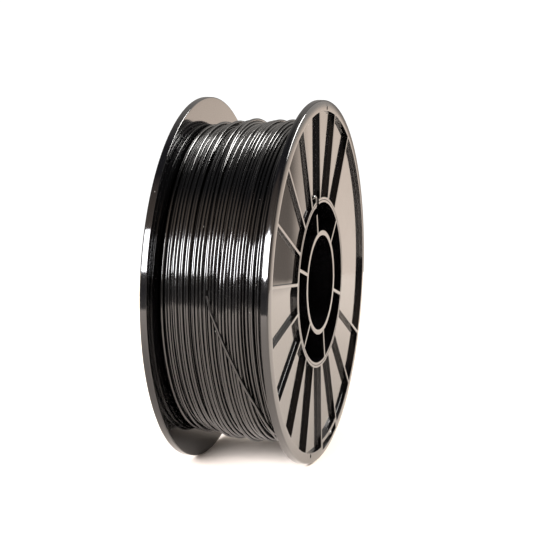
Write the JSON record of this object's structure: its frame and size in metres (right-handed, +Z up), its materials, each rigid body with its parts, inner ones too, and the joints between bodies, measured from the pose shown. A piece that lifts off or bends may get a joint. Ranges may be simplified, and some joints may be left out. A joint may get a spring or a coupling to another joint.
{
  "type": "filament spool",
  "caption": "Round spool with two ribbed flanges on a hollow webbed core, wound full with printer filament; it turns on its centre bore.",
  "frame": {"origin": "middle of the bore, halfway between the flanges' outer faces", "axes": "+Y along the spin axis with the front flange at -Y, +Z up as the spool stands on its rims"},
  "size_m": [0.2, 0.07, 0.2],
  "materials": {
    "spool_plastic": "glossy black moulded polystyrene with faint flow marks and fine scuffs",
    "filament": "satin black extruded thermoplastic strand"
  },
  "bodies": {
    "root": {"front_flange": "spool_plastic", "back_flange": "spool_plastic", "drum": "spool_plastic", "bore_tube": "spool_plastic", "core_web_1": "spool_plastic", "core_web_2": "spool_plastic", "core_web_3": "spool_plastic", "core_web_4": "spool_plastic", "core_web_5": "spool_plastic", "core_web_6": "spool_plastic", "filament_layer_01": "filament", "filament_layer_02": "filament", "filament_layer_03": "filament", "filament_layer_04": "filament", "filament_layer_05": "filament", "filament_layer_06": "filament", "filament_layer_07": "filament", "filament_layer_08": "filament", "filament_layer_09": "filament", "filament_layer_10": "filament", "filament_layer_11": "filament", "filament_layer_12": "filament", "filament_layer_13": "filament", "filament_layer_14": "filament", "filament_layer_15": "filament", "filament_layer_16": "filament", "filament_layer_17": "filament", "filament_layer_18": "filament", "filament_layer_19": "filament", "filament_layer_20": "filament", "filament_layer_21": "filament", "filament_layer_22": "filament", "filament_layer_23": "filament", "filament_first_end": "filament", "filament_free_end": "filament"}
  },
  "joints": []
}
